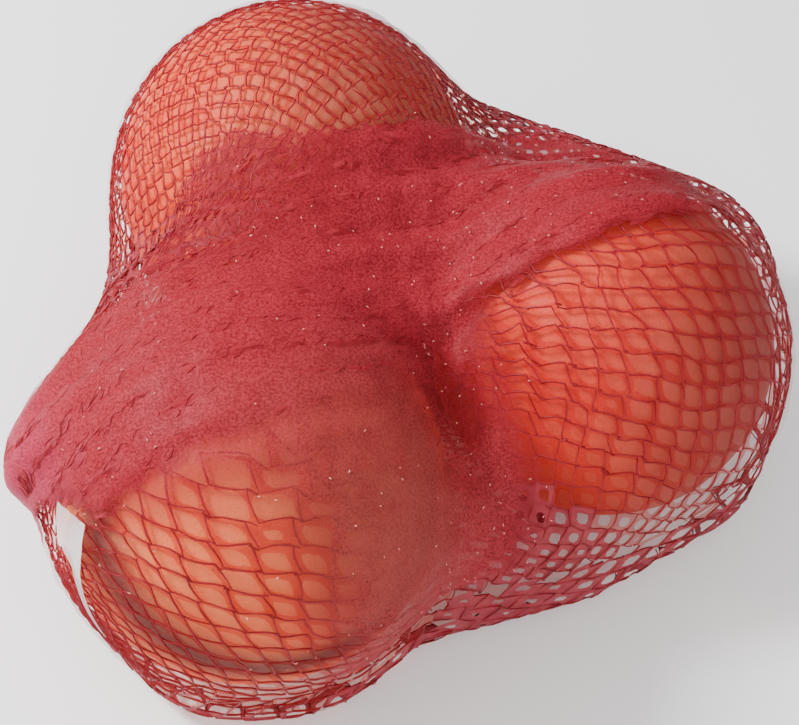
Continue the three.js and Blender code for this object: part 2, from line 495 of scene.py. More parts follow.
@dataclass(frozen=True)
class PeelFinish:
    """Waxy citrus peel, uneven in colour, with the pits of its oil glands and a painted shade.

    Args:
        name: The material's name.
        orange: Its usual colour.
        yellow: Colour of its paler patches.
        blush: Colour of its darker patches and of the pits.
        painted_shade: Colour of its painted shade, where the fruit lies in shade.
        painted_shade_side: Direction from the fruit's centre towards that shade.
        painted_shade_range: Where the painted shade starts, is full and ends that way, in radii.
        roughness: Roughness of the wax.
        ior: Its index of refraction.
        shine: Strength of its highlights.
        pit_scale: Pits per metre.
    """

    name: str
    orange: Colour
    yellow: Colour
    blush: Colour
    # Painted shade: a darker colour on the side, or in the band, where the fruit lies in shade.
    painted_shade: Colour
    painted_shade_side: Point = (1.0, -0.1, -0.2)
    painted_shade_range: tuple[float, float, float] = (-0.3, 0.8, 2.0)
    roughness: float = 0.5
    ior: float = 1.45
    shine: float = 0.16
    pit_scale: float = 820.0

    def material(self, centre: Point, radius: float) -> Material:
        """The finish as a node material.

        Args:
            centre: Centre of the fruit that wears it.
            radius: That fruit's radius.

        Returns:
            The material.
        """
        shader = Shader(self.name)
        broad = shader.ramp(shader.noise(16.0, 2.0), 0.36, 0.64)
        flush = shader.ramp(shader.noise(27.0, 3.0), 0.5, 0.78)
        fine = shader.ramp(shader.noise(210.0, 3.0, 0.6), 0.3, 0.75)
        base = shader.mix(flush, shader.mix(broad, self.orange, self.yellow), self.blush)
        base = shader.mix(fine, base, shader.mix(0.22, base, self.yellow))
        glands = shader.node("ShaderNodeTexVoronoi", {"Vector": shader.place, "Scale": self.pit_scale})
        pits = shader.ramp(glands.outputs["Distance"], 0.0, 0.5)
        colour = shader.mix(pits, shader.mix(0.3, base, self.blush), base)
        # Painted shade: the peel darkens towards one side, or in a band round the fruit.
        colour = shader.mix(self._painted_shade_share(shader, centre, radius), colour, self.painted_shade)
        swell = shader.bump(shader.noise(120.0, 3.0), 0.0012, 0.35, over=shader.bump(pits, 0.0003, 0.35))
        rough = shader.between(shader.noise(90.0), self.roughness - 0.06, self.roughness + 0.1)
        inputs = {"Base Color": colour, "Roughness": rough, "Normal": swell, "IOR": self.ior}
        inputs["Specular IOR Level"] = self.shine
        return shader.finish(shader.node("ShaderNodeBsdfPrincipled", inputs))

    def _painted_shade_share(self, shader: Shader, centre: Point, radius: float) -> Socket:
        """How much painted shade the peel has, from 0 to 1."""
        side = unit(np.array(self.painted_shade_side))
        start, full, end = ((float(side @ centre) + share * radius) * MILLIMETRE for share in self.painted_shade_range)
        inputs = {0: shader.place, 1: side.tolist()}
        along = shader.node("ShaderNodeVectorMath", inputs, operation="DOT_PRODUCT").outputs["Value"]
        rising, falling = shader.ramp(along, start, full), shader.ramp(along, end, full)
        return shader.node("ShaderNodeMath", {0: rising, 1: falling}, operation="MINIMUM").outputs[0]


@dataclass(frozen=True)
class FloorFinish:
    """Pale plain floor.

    Args:
        name: The material's name.
        colour: Its colour, a little darker in patches.
    """

    name: str = "pale_floor"
    colour: Colour = (0.93, 0.93, 0.93)

    def material(self) -> Material:
        """The finish as a node material."""
        shader = Shader(self.name)
        tone = shader.mix(shader.noise(3.0), self.colour, dimmed(self.colour, 0.985))
        return shader.finish(shader.node("ShaderNodeBsdfDiffuse", {"Color": tone}))


# ---------------------------------------------------------------- the bag's surface


class BagSurface:
    """The bag's outer side, as its distance in every direction from a point that sees all of it."""

    INSIDE = np.array([-2.33, -0.18, 46.0])
    OFF_EDGES = np.array([0.013, 0.017, 0.011])
    FLOOR_CLEARANCE = 0.35
    POLAR_STEPS = 240
    AZIMUTH_STEPS = 480

    def __init__(self, node: bpy.types.Object) -> None:
        """Measures the node by rays from inside it.

        Args:
            node: The bag's own solid, as packed.
        """
        mesh = node.data
        corners = [v.co / MILLIMETRE for v in mesh.vertices]
        tree = BVHTree.FromPolygons(corners, [tuple(p.vertices) for p in mesh.polygons])
        polar = np.linspace(0, np.pi, self.POLAR_STEPS + 1)
        azimuth = np.linspace(0, 2 * np.pi, self.AZIMUTH_STEPS, endpoint=False)
        p, a = np.meshgrid(polar, azimuth, indexing="ij")
        headings = np.stack([np.sin(p) * np.cos(a), np.sin(p) * np.sin(a), np.cos(p)], axis=-1)
        start = Vector(self.INSIDE + self.OFF_EDGES)
        reach = np.array([tree.ray_cast(start, Vector(h))[3] or 0.0 for h in headings.reshape(-1, 3)])
        reach = self._soften(reach.reshape(p.shape), passes=2)
        place = self.INSIDE + headings * reach[..., None]
        down = np.gradient(place, axis=0)
        around = (np.roll(place, -1, axis=1) - np.roll(place, 1, axis=1)) / 2
        out = unit(np.cross(down, around))
        out[0], out[-1] = (0, 0, 1), (0, 0, -1)
        self.table = np.concatenate([reach[..., None], out], axis=-1)

    @staticmethod
    def _soften(values: Array, passes: int) -> Array:
        """Evens the facets out of a table of distances."""
        for _ in range(passes):
            values = (np.roll(values, 1, axis=1) + 2 * values + np.roll(values, -1, axis=1)) / 4
            values[1:-1] = (values[:-2] + 2 * values[1:-1] + values[2:]) / 4
        return values

    def _sample(self, headings: Array) -> tuple[Array, Array]:
        """Distance and outward normal in each direction, between the table's entries."""
        polar = np.arccos(np.clip(headings[..., 2], -1, 1)) / np.pi * self.POLAR_STEPS
        azimuth = np.arctan2(headings[..., 1], headings[..., 0]) / (2 * np.pi) * self.AZIMUTH_STEPS
        row = np.clip(np.floor(polar).astype(int), 0, self.POLAR_STEPS - 1)
        column = np.floor(azimuth).astype(int)
        down = (polar - row)[..., None]
        along = (azimuth - column)[..., None]
        left, right = column % self.AZIMUTH_STEPS, (column + 1) % self.AZIMUTH_STEPS
        upper = self.table[row, left] * (1 - along) + self.table[row, right] * along
        lower = self.table[row + 1, left] * (1 - along) + self.table[row + 1, right] * along
        mixed = upper * (1 - down) + lower * down
        return mixed[..., 0], unit(mixed[..., 1:])

    def lay(self, points: Array, inset: float | Array) -> tuple[Array, Array]:
        """Moves points on to the bag.

        Args:
            points: Positions near the surface.
            inset: How deep under the bag's outer side they go.

        Returns:
            The new positions, and the outward normals there.
        """
        headings = unit(points - self.INSIDE)
        reach, out = self._sample(headings)
        depth = np.asarray(inset)[..., None]
        laid = self.INSIDE + headings * reach[..., None] - out * depth
        laid[..., 2] = np.maximum(laid[..., 2], self.FLOOR_CLEARANCE)
        return laid, out

    def on_plane(self, points: Array | Point) -> Array:
        """Each point's direction as a complex number, by stereographic projection from straight below."""
        headings = unit(np.asarray(points, float) - self.INSIDE)
        return (headings[..., 0] + 1j * headings[..., 1]) / (1 + headings[..., 2] + 1e-9)

    def from_plane(self, places: Array) -> Array:
        """A point in each direction that such a complex number stands for."""
        square = np.abs(places) ** 2
        headings = np.stack([2 * places.real, 2 * places.imag, 1 - square], axis=-1) / (1 + square)[..., None]
        return self.INSIDE + headings

    def on_bag(self, places: Array) -> Array:
        """Each place of the plane as a point of the bag's outer side."""
        return self.lay(self.from_plane(places), 0.0)[0]


# ---------------------------------------------------------------- how the net runs


@dataclass(frozen=True)
class Flow:
    """The way that the net's wales run over the bag: towards its gathers and away from its ends.

    Args:
        pulls: Each gather as a point near the surface and its strength, which is below 0 where wales start.
        swirl: Angle in degrees by which the wales cross that way.
    """

    pulls: tuple[tuple[Point, float], ...]
    swirl: float = 0.0

    SHORTEST_STEP = 1.0
    LONGEST_STEP = 2.6
    TRIAL_STEP = 1e-3
    SEARCH_PACE = 2.0
    SEARCH_BACK = 30
    SEARCH_ON = 60

    def slope(self, places: Array, surface: BagSurface) -> Array:
        """The level's slope on the plane of `BagSurface.on_plane`, as complex numbers."""
        total = np.zeros_like(places)
        for point, strength in self.pulls:
            total += strength / (places - surface.on_plane(point) + 1e-9)
        return np.conj(total)

    def steepness(self, places: Array, surface: BagSurface) -> Array:
        """How steep the level is there, and never quite 0."""
        return np.maximum(np.abs(self.slope(places, surface)), 1e-6)

    def heading(self, places: Array, surface: BagSurface) -> Array:
        """The wales' direction on that plane, as unit complex numbers."""
        heading = -self.slope(places, surface) * np.exp(1j * math.radians(self.swirl))
        return heading / np.maximum(np.abs(heading), 1e-12)

    def level(self, places: Array, surface: BagSurface) -> Array:
        """A number that falls along every wale towards the gathers."""
        total = np.zeros(places.shape)
        for point, strength in self.pulls:
            total += strength * np.log(np.abs(places - surface.on_plane(point)) + 1e-9)
        return total

    def move_to_levels(self, surface: BagSurface, starts: Array, levels: Array) -> Array:
        """Moves the wales' starts along them to where each reaches its own level.

        Args:
            surface: The bag.
            starts: Where the wales start, on the plane.
            levels: The level for each.

        Returns:
            The new starts.
        """
        back = self.trace(surface, starts, self.SEARCH_PACE, self.SEARCH_BACK, -1)
        on = self.trace(surface, starts, self.SEARCH_PACE, self.SEARCH_ON, 1)
        places = np.concatenate([back[:0:-1], on])
        heights = np.maximum.accumulate(-self.level(places, surface), axis=0)
        step = np.arange(len(places))
        at = [np.interp(-level, height, step) for level, height in zip(levels, heights.T)]
        moved = [np.interp(a, step, p.real) + 1j * np.interp(a, step, p.imag) for a, p in zip(at, places.T)]
        return np.array(moved)

    def trace(
        self,
        surface: BagSurface,
        starts: Array,
        pace: float | None,
        count: int,
        sense: int,
        rises: Array | None = None,
    ) -> Array:
        """Follows the wales from their starts.

        Args:
            surface: The bag.
            starts: Where the wales start, on the plane.
            pace: Length of a step over the bag.
            count: Number of steps.
            sense: 1 towards the gathers, -1 away from them.
            rises: In place of the pace, the level that each wale rises or falls by in a step.

        Returns:
            Places on the plane, with steps along the first axis and wales along the second.
        """
        places = [starts]
        here = surface.on_bag(starts)
        for _ in range(count):
            place = places[-1]
            trial = self.TRIAL_STEP * (1 + np.abs(place) ** 2)
            heading = self.heading(place, surface)
            ahead = surface.on_bag(place + sense * heading * trial)
            scale = np.maximum(np.linalg.norm(ahead - here, axis=-1), 1e-6) / trial
            if rises is None:
                stride = pace / scale
            else:
                middle = place + sense * heading * rises / self.steepness(place, surface) / 2
                stride = rises / self.steepness(middle, surface)
                stride = np.clip(stride, self.SHORTEST_STEP / scale, self.LONGEST_STEP / scale)
            middle = place + sense * heading * stride / 2
            place = place + sense * self.heading(middle, surface) * stride
            here = surface.on_bag(place)
            places.append(place)
        return np.array(places)

    def ended(self, surface: BagSurface, line: Array, middle: int, reach: float) -> Array:
        """Says where the wales have run past a gather, or past the point under the bag.

        Args:
            surface: The bag.
            line: The wales' points, as wales by steps by x, y, z.
            middle: The step at which they start.
            reach: Distance from a gather at which they end.

        Returns:
            True for each point that lies beyond an end.
        """
        ends = [surface.on_bag(surface.on_plane(point)) for point, _ in self.pulls]
        ends.append(surface.lay(surface.INSIDE - np.array([0.0, 0.0, 1.0]), 0.0)[0])
        near = np.zeros(line.shape[:2], bool)
        for end in ends:
            near |= np.linalg.norm(line - end, axis=-1) < reach
        into = np.logical_or.accumulate(near[:, middle:], axis=1)
        out = np.logical_or.accumulate(near[:, middle::-1], axis=1)[:, ::-1]
        return np.concatenate([out, into[:, 1:]], axis=1)


# ---------------------------------------------------------------- meshes of strands


def make_piece(name: str, corners: Array, faces: list, material: Material) -> Piece:
    """Makes a mesh object that rides on the bag.

    Args:
        name: The piece's name.
        corners: Vertices in millimetres.
        faces: Vertex numbers of each face.
        material: Its finish.

    Returns:
        The object.
    """
    mesh = bpy.data.meshes.new(name)
    mesh.from_pydata((np.asarray(corners) * MILLIMETRE).tolist(), [], faces)
    mesh.materials.append(material)
    mesh.shade_smooth()
    piece = bpy.data.objects.new(name, mesh)
    bpy.context.scene.collection.objects.link(piece)
    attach(piece, "root")
    triangles = sum(len(p.vertices) - 2 for p in mesh.polygons)
    log.info("%s: %d triangles", name, triangles)
    return piece


class Strands:
    """Collects thin yarns and flat rings, and joins them into one mesh."""

    SIDES = 3
    CORNER_REACH = 0.58

    def __init__(self) -> None:
        """Starts empty."""
        self.corners: list[Array] = []
        self.quads: list[Array] = []
        self.caps: list[Array] = []
        self.count = 0

    def _add_grid(self, grid: Array) -> Array:
        """Adds closed loops of points as quads from loop to loop, and returns the points' numbers."""
        index = self.count + np.arange(grid[..., 0].size).reshape(grid.shape[:3])
        turned = np.roll(index, -1, axis=2)
        walls = np.stack([index[:, :-1], turned[:, :-1], turned[:, 1:], index[:, 1:]], axis=-1)
        self.corners.append(grid.reshape(-1, 3))
        self.quads.append(walls.reshape(-1, 4))
        self.count += grid[..., 0].size
        return index

    def add_yarn(self, paths: Array, across: Array, out: Array, width: Array, depth: Array) -> None:
        """Adds closed yarns with three sides, all of one number of points.

        Args:
            paths: Centre lines, as yarns by points by x, y, z.
            across: Unit vectors across each yarn, in the net's surface.
            out: Unit vectors out of the net's surface.
            width: Full width along `across`, as yarns by points.
            depth: Full depth along `out`, as yarns by points.
        """
        if min(paths.shape[:2]) == 0:
            return
        angles = (np.arange(self.SIDES) + 0.5) * 2 * np.pi / self.SIDES
        aside, up = np.cos(angles) * self.CORNER_REACH, np.sin(angles) * self.CORNER_REACH
        sideways = across[:, :, None] * aside[:, None] * width[:, :, None, None]
        upwards = out[:, :, None] * up[:, None] * depth[:, :, None, None]
        index = self._add_grid(paths[:, :, None] + sideways + upwards)
        self.caps += [index[:, 0, ::-1], index[:, -1]]

    def add_rings(self, rings: Array) -> None:
        """Adds flat rings, as rings by rows from the outer to the inner edge by points by x, y, z."""
        if len(rings):
            self._add_grid(rings)

    def piece(self, name: str, material: Material, slot: Slot) -> Piece:
        """The collected strands as one piece of the bag."""
        faces = np.concatenate(self.quads).tolist()
        for caps in self.caps:
            faces.extend(caps.tolist())
        return make_piece(name, np.concatenate(self.corners), faces, material)


# ---------------------------------------------------------------- the knitted net


@dataclass(frozen=True)
class Stretch:
    """A place where what is under the net pushes its cells open.

    Args:
        centre: The place.
        reach: How far it is felt.
        gain: How much wider the cells get.
        lean: How much more the wales lean to each other.
    """

    centre: Point
    reach: float
    gain: float
    lean: float

    def nearness(self, points: Array) -> Array:
        """1 at the place itself, and less away from it."""
        away = np.linalg.norm(points - np.array(self.centre), axis=-1)
        return np.exp(-(away**2) / (2 * self.reach**2))

    def pushes(self, points: Array) -> Array:
        """How far the net is pushed aside at each point."""
        return (points - np.array(self.centre)) * (self.gain * self.nearness(points))[..., None]


@dataclass(frozen=True)
class Gauge:
    """The sizes of a knit's strands.

    Args:
        yarn: Thickness of the yarns along each wale.
        swing: How far they swing to its sides.
        yarn_wave: Steps along the wale to one swing.
        course: Thickness of the yarns that join the wales.
        curl: How far the flat tape round each cell curls.
    """

    yarn: float = 0.5
    swing: float = 0.5
    yarn_wave: float = 6.5
    course: float = 0.56
    curl: float = 0.25


@dataclass
class Ply:
    """One layer of the knitted net.

    Args:
        surface: The bag that it lies on.
        flow: The way that its wales run.
        starts: Where its wales start, on the plane of `BagSurface.on_plane`.
        inward: Steps of each wale towards the gathers.
        outward: Steps of each wale away from them.
        seed: Seed of its unevenness.
        within: Regions that it covers; all of the bag if there are none.
        without: Regions that it leaves out.
        underside: Where it goes on under the bag; all over it if there is none.
        pace: Length along a wale of a third of half a cell.
        rises: In place of the pace, the level by which each wale rises in such a step.
        lean: How far the wales lean to each other, as a share of their spacing.
        inset: Depth under the bag's outer side.
        ring: Whether the last wale joins the first.
        thin_below: Spacing under which every second wale ends.
        gauge: The strands' sizes.
        stretches: Places where the cells are pushed open.
        crumple: Waves that lift the layer off the bag.
        drift: Waves that make its cells uneven.
    """

    STEPS_PER_HALF_CELL = 3
    HOPS = (1, 2, 4)
    LONGEST_COURSE = 21.0
    SHORTEST_COURSE = 0.5
    COURSE_POINTS = 6
    SHORTEST_RUN = 4
    END_REACH = 6.0
    HEM_HEIGHT = 28.0
    HEM_SPACING = 5.2
    FLAT_HEIGHT = 0.9
    BRIDGE_GAP = 8.0
    WIDEST_LEANING = 12.0
    SMALLEST_HOLE = 0.04
    LARGEST_HOLE = 0.92
    HOLE_SPREAD = 0.16
    HOLE_WOBBLE = 0.05
    ROW_CURLS = (0.0, 1.0, 1.4)

    surface: BagSurface
    flow: Flow
    starts: Array
    inward: int
    outward: int
    seed: int
    within: tuple[Region, ...] = ()
    without: tuple[Region, ...] = ()
    underside: Region | None = None
    pace: float = 1.4
    rises: Array | None = None
    lean: float = 0.14
    inset: float = 0.7
    ring: bool = True
    thin_below: float = 1.3
    gauge: Gauge = Gauge()
    stretches: tuple[Stretch, ...] = ()
    crumple: tuple[Ripple | Pleats, ...] = ()
    drift: Ripple = Ripple(11, 38.0, 1.1)

    def __post_init__(self) -> None:
        """Works out the wales' lines and where they show."""
        self.rng = np.random.default_rng(self.seed)
        line, past_end = self._follow_flow()
        line, lean = self._stretched(line)
        line, normal = self.surface.lay(line, self.inset)
        across = unit(np.cross(unit(np.gradient(line, axis=1)), normal))
        gap = np.roll(line, -1, axis=0) - line
        side = np.sign(np.mean(np.sum(gap[:-1] * across[:-1], axis=-1)))
        spacing = np.linalg.norm(gap, axis=-1)
        spacing = np.minimum(spacing, np.roll(spacing, 1, axis=0))
        self.count = np.arange(spacing.shape[1]) - self.outward
        number = np.arange(len(line))[:, None]
        hop = self._hops(line, spacing)
        turn = np.pi * (self.count / self.STEPS_PER_HALF_CELL + number // hop)
        zigzag = np.arcsin(np.clip(np.cos(turn), -1, 1)) * 2 / np.pi
        uneven = 1 + self._waver(0.18, 7.0)
        lean = lean * np.minimum(spacing * hop, self.WIDEST_LEANING) * zigzag * uneven
        line = line + across * (side * lean + self._waver(0.25, 5.0))[..., None]
        self.line, self.normal = self.surface.lay(line, self.inset - self._lift(line))
        self.along = unit(np.gradient(self.line, axis=1))
        self.across = unit(np.cross(self.along, self.normal)) * side
        self.shown = self._covered() & (number % hop == 0) & ~past_end
        self.webbed = np.zeros_like(self.shown)

    def _follow_flow(self) -> tuple[Array, Array]:
        """The wales' lines before they lean to each other, and where they have run past an end."""
        out = self.flow.trace(self.surface, self.starts, self.pace, self.outward, -1, self.rises)
        into = self.flow.trace(self.surface, self.starts, self.pace, self.inward, 1, self.rises)
        line = self.surface.on_bag(np.concatenate([out[:0:-1], into]).T)
        past_end = self.flow.ended(self.surface, line, self.outward, self.END_REACH)
        return line + self.drift.pushes(line), past_end

    def _stretched(self, line: Array) -> tuple[Array, Array]:
        """The lines where the cells are pushed open, and how far the wales lean at each point."""
        lean = np.full(line.shape[:2], self.lean)
        for stretch in self.stretches:
            lean += stretch.lean * stretch.nearness(line)
            line = line + stretch.pushes(line)
        return line, lean

    def _hops(self, line: Array, spacing: Array) -> Array:
        """How many wales on the next one shows at each point, so that thinned wales don't crowd."""
        limit = np.where(line[..., 2] < self.HEM_HEIGHT, self.HEM_SPACING, self.thin_below)
        one, two, four = self.HOPS
        return np.where(spacing > limit, one, np.where(spacing > limit / two, two, four))

    def _lift(self, points: Array) -> Array:
        """How far the crumpled layer stands off the bag at each point."""
        return sum((wave.at(points) for wave in self.crumple), np.zeros(points.shape[:-1]))

    def _covered(self) -> Array:
        """Says where the layer is."""
        covered = np.full(self.line.shape[:2], not self.within)
        for region in self.within:
            covered |= region.holds(self.line)
        if self.underside:
            covered &= (self.line[..., 2] > self.FLAT_HEIGHT) | self.underside.holds(self.line)
        for region in self.without:
            covered &= ~region.holds(self.line)
        return covered

    def _waver(self, height: float, length: float) -> Array:
        """A smooth random number along each wale, by its usual height and its wavelength in steps."""
        wales, steps = len(self.starts), len(self.count)
        total = np.zeros((wales, steps))
        for octave in (1.0, 1.9):
            phase = self.rng.uniform(0, 2 * np.pi, (wales, 1))
            rate = 2 * np.pi / (length * octave * self.rng.uniform(0.8, 1.25, (wales, 1)))
            total += np.sin(np.arange(steps) * rate + phase)
        return height * (total / 2)

    def knit_wales(self, yarn: Strands) -> None:
        """Adds the yarns along the wales, where they edge a cell."""
        gauge = self.gauge
        rate = 2 * np.pi / gauge.yarn_wave
        phase = self.rng.uniform(0, 2 * np.pi, (len(self.line), 1))
        thick = gauge.yarn * (1 + self._waver(0.25, 5.0))
        swing = self.count * rate + phase + self._waver(0.7, 9.0)
        path = self.line + self.across * (gauge.swing * np.sin(swing))[..., None]
        path += self.normal * (0.1 + 0.5 * gauge.yarn * np.cos(swing))[..., None]
        for wale, shown in enumerate(self.webbed):
            edges = np.flatnonzero(np.diff(np.concatenate([[False], shown, [False]]).astype(int)))
            for first, end in zip(edges[::2], edges[1::2]):
                if end - first >= self.SHORTEST_RUN:
                    cut = (slice(wale, wale + 1), slice(int(first), int(end)))
                    yarn.add_yarn(path[cut], self.across[cut], self.normal[cut], thick[cut], thick[cut])

    def knit_cells(self, web: Strands, bridge: Strands, openness: Patchwork) -> None:
        """Adds the flat tape round each cell, with the cell's rounded hole in it.

        Args:
            web: The mesh that takes it where it lies on fruit.
            bridge: The mesh that takes it where it hangs between the fruits or round them.
            openness: The holes' sizes.
        """
        wales, steps = self.shown.shape
        half = self.STEPS_PER_HALF_CELL
        cell = 2 * half
        for hop in self.HOPS:
            left, at = self._joints(hop)
            left, at = left[at + cell < steps], at[at + cell < steps]
            right = (left + hop) % wales
            run = at[:, None] + np.arange(cell + 1)
            whole = self.shown[left[:, None], run].all(axis=1) & self.shown[right[:, None], run].all(axis=1)
            for between in range(1, hop):
                whole &= ~self.shown[(left + between) % wales, at + half]
            up, down = self.line[left[:, None], run], self.line[right[:, None], run[:, ::-1]]
            whole &= np.linalg.norm(up[:, half] - down[:, half], axis=-1) < self.LONGEST_COURSE
            self.webbed[left[whole][:, None], run[whole]] = True
            self.webbed[right[whole][:, None], run[whole]] = True
            up, down = up[whole], down[whole]
            ends = [(up[:, -1] + down[:, 0])[:, None] / 2, (up[:, 0] + down[:, -1])[:, None] / 2]
            edge = np.concatenate([up, ends[0], down, ends[1]], axis=1)
            self._ring(web, bridge, edge, openness)

    def _ring(self, web: Strands, bridge: Strands, edge: Array, openness: Patchwork) -> None:
        """Adds the tape between the cells' edges and their holes."""
        centre = edge.mean(axis=1)
        share = openness.at(centre) * (1 + self.HOLE_SPREAD * self.rng.normal(size=len(centre)))
        share = np.clip(share, self.SMALLEST_HOLE, self.LARGEST_HOLE)[:, None, None]
        arm = edge - centre[:, None]
        for _ in range(2):
            arm = (np.roll(arm, 1, axis=1) + 2 * arm + np.roll(arm, -1, axis=1)) / 4
        wobble = 1 + self.HOLE_WOBBLE * self.rng.normal(size=edge.shape[:2])
        hole = centre[:, None] + arm * share * wobble[..., None]
        rings = np.stack([edge, (edge + hole) / 2, hole], axis=1)
        curl = self.gauge.curl * self.rng.normal(size=(len(centre), 3, 1)) * np.array(self.ROW_CURLS)[:, None]
        depth = self.inset - self._lift(rings) + np.broadcast_to(curl, rings.shape[:3])
        rings, _ = self.surface.lay(rings, depth)
        hangs = hanging(centre) > self.BRIDGE_GAP
        web.add_rings(rings[~hangs])
        bridge.add_rings(rings[hangs])

    def _joints(self, hop: int) -> tuple[Array, Array]:
        """Where a wale joins the one `hop` wales on, past wales that have ended there."""
        wales, steps = self.shown.shape
        number, step = np.meshgrid(np.arange(wales), np.arange(steps), indexing="ij")
        course = self.count[step] // self.STEPS_PER_HALF_CELL
        here = (self.count[step] % self.STEPS_PER_HALF_CELL == 0) & ((course + number // hop) % 2 == 0)
        for between in range(1, hop):
            here &= ~np.roll(self.shown, -between, axis=0)
        if not self.ring:
            here[-hop:] = False
        return np.nonzero(here & self.shown & np.roll(self.shown, -hop, axis=0))

    def knit_courses(self, yarn: Strands) -> None:
        """Adds the yarns that join neighbouring wales into cells."""
        for hop in self.HOPS:
            left, at = self._joints(hop)
            right = (left + hop) % len(self.line)
            gap = np.linalg.norm(self.line[right, at] - self.line[left, at], axis=-1)
            fits = (gap < self.LONGEST_COURSE) & (gap > self.SHORTEST_COURSE)
            fits &= self.webbed[left, at] & self.webbed[right, at]
            self._join(yarn, left[fits], right[fits], at[fits], gap[fits])

    def _join(self, yarn: Strands, left: Array, right: Array, at: Array, gap: Array) -> None:
        """Adds the yarns between pairs of wales at given steps."""
        count = len(left)
        share = np.linspace(0, 1, self.COURSE_POINTS)
        arc = np.sin(np.pi * share)
        # These numbers are drawn only so that the draws after them stay the same.
        self.rng.integers(-1, 2, (2, count))
        start, end = self.line[left, at], self.line[right, at]
        path = start[:, None] + (end - start)[:, None] * share[None, :, None]
        bow = (self.rng.normal(0, 0.1, count) + 0.05) * gap
        path += self.along[left, at][:, None] * (bow[:, None] * arc)[..., None]
        drop = self.rng.uniform(-0.15, 0.2, (count, 1)) * arc
        path, normal = self.surface.lay(path, self.inset - self._lift(path) + drop)
        across = unit(np.cross(np.gradient(path, axis=1), normal))
        width = self.gauge.course * self.rng.uniform(0.7, 1.35, (count, 1)) * np.ones(len(share))
        yarn.add_yarn(path, across, normal, width, 0.75 * width)


@dataclass
class Veil:
    """The net where it lies in so many layers that its cells can't be told apart.

    Args:
        surface: The bag that it lies on.
        parts: Where it is: each region, the distance over which it fades at its edge, and its density.
        haze: Its density elsewhere on the fruits, where it stands for the net's finest threads.
        step: Size of its facets on the plane of `BagSurface.on_plane`.
        inset: Depth under the bag's outer side.
        crumple: Waves that lift it off the bag.
    """

    DENSITY = "layers"
    FAINTEST = 0.02
    HAZE_FADE = 6.0
    HALF_SIDE = 1.9

    surface: BagSurface
    parts: tuple[tuple[Region, float, Patchwork], ...]
    haze: Patchwork
    step: float = 0.0125
    inset: float = -0.5
    crumple: tuple[Ripple | Pleats, ...] = ()

    def _density(self, points: Array) -> Array:
        """How dense it is at each point, from 0 to 1."""
        total = np.zeros(points.shape[:-1])
        for region, fade, density in self.parts:
            share = np.clip(region.depth(points) / fade, 0, 1)
            total = np.maximum(total, density.at(points) * share * share * (3 - 2 * share))
        return np.maximum(total, self.haze.at(points) * np.clip(1 - hanging(points) / self.HAZE_FADE, 0, 1))

    def build(self, name: str, material: Material) -> Piece:
        """Makes it.

        Args:
            name: The piece's name.
            material: Its finish.

        Returns:
            The piece.
        """
        side = np.arange(-self.HALF_SIDE, self.HALF_SIDE, self.step)
        x, y = np.meshgrid(side, side, indexing="ij")
        points = self.surface.on_bag(x + 1j * y)
        density = self._density(points)
        lift = sum((wave.at(points) for wave in self.crumple), np.zeros(density.shape))
        points, _ = self.surface.lay(points, self.inset - lift)
        index = np.arange(density.size).reshape(density.shape)
        quads = np.stack([index[:-1, :-1], index[1:, :-1], index[1:, 1:], index[:-1, 1:]], axis=-1)
        quads = quads.reshape(-1, 4)
        quads = quads[density.reshape(-1)[quads].max(axis=1) > self.FAINTEST]
        used, quads = np.unique(quads, return_inverse=True)
        corners, faces = points.reshape(-1, 3)[used], quads.reshape(-1, 4).tolist()
        piece = make_piece(name, corners, faces, material)
        shown = piece.data.attributes.new(self.DENSITY, "FLOAT", "POINT")
        shown.data.foreach_set("value", density.reshape(-1)[used].astype(np.float32))
        return piece


@dataclass(frozen=True)
class Glints:
    """Short ends of twisted tape whose pale finish paints the glints where tape catches the light.

    Args:
        surface: The bag that they lie on.
        regions: Where they are.
        count: Their number.
        seed: Seed of their places and sizes.
        lift: How far they stand off the bag.
        half_length: Shortest and longest half of one.
        width: Narrowest and widest.
        bulge: How far their middles stand up.
    """

    HALF_SIDE = 1.1
    TRIES = 40

    surface: BagSurface
    regions: tuple[Region, ...]
    count: int = 240
    seed: int = 17
    lift: float = 0.9
    half_length: tuple[float, float] = (0.2, 0.55)
    width: tuple[float, float] = (0.28, 0.55)
    bulge: float = 0.2

    def build(self, name: str, material: Material) -> Piece:
        """Makes them as one piece of the bag."""
        rng = np.random.default_rng(self.seed)
        spread = rng.uniform(-self.HALF_SIDE, self.HALF_SIDE, (self.TRIES * self.count, 2))
        centre = self.surface.on_bag(spread @ np.array([1.0, 1.0j]))
        centre = centre[np.any([region.holds(centre) for region in self.regions], axis=0)][: self.count]
        centre, normal = self.surface.lay(centre, -self.lift)
        along = unit(np.cross(normal, np.array([0.0, 0.0, 1.0])))
        turn = rng.uniform(0, np.pi, len(centre))[:, None]
        heading = along * np.cos(turn) + np.cross(normal, along) * np.sin(turn)
        half = rng.uniform(*self.half_length, (len(centre), 1, 1))
        path = centre[:, None] + heading[:, None] * half * np.array([-1, 0, 1])[:, None]
        path[:, 1] += self.bulge * normal
        side = np.repeat(np.cross(normal, heading)[:, None], 3, axis=1)
        width = rng.uniform(*self.width, (len(centre), 1)) * np.array([0.5, 1.0, 0.5])
        glints = Strands()
        glints.add_yarn(path, side, np.repeat(normal[:, None], 3, axis=1), width, 0.4 * width)
        return glints.piece(name, material, Slot.NET)


@dataclass(frozen=True)
class CastOn:
    """How the wales are set along the bag's belt, at one heading from its middle.

    Args:
        azimuth: The heading in degrees.
        spacing: Distance from wale to wale along the belt.
        level: The flow's level from which the wales' cells are counted, so that they lie square there.
        rise: How far that level changes in a third of half a cell.
    """

    azimuth: float
    spacing: float
    level: float
    rise: float


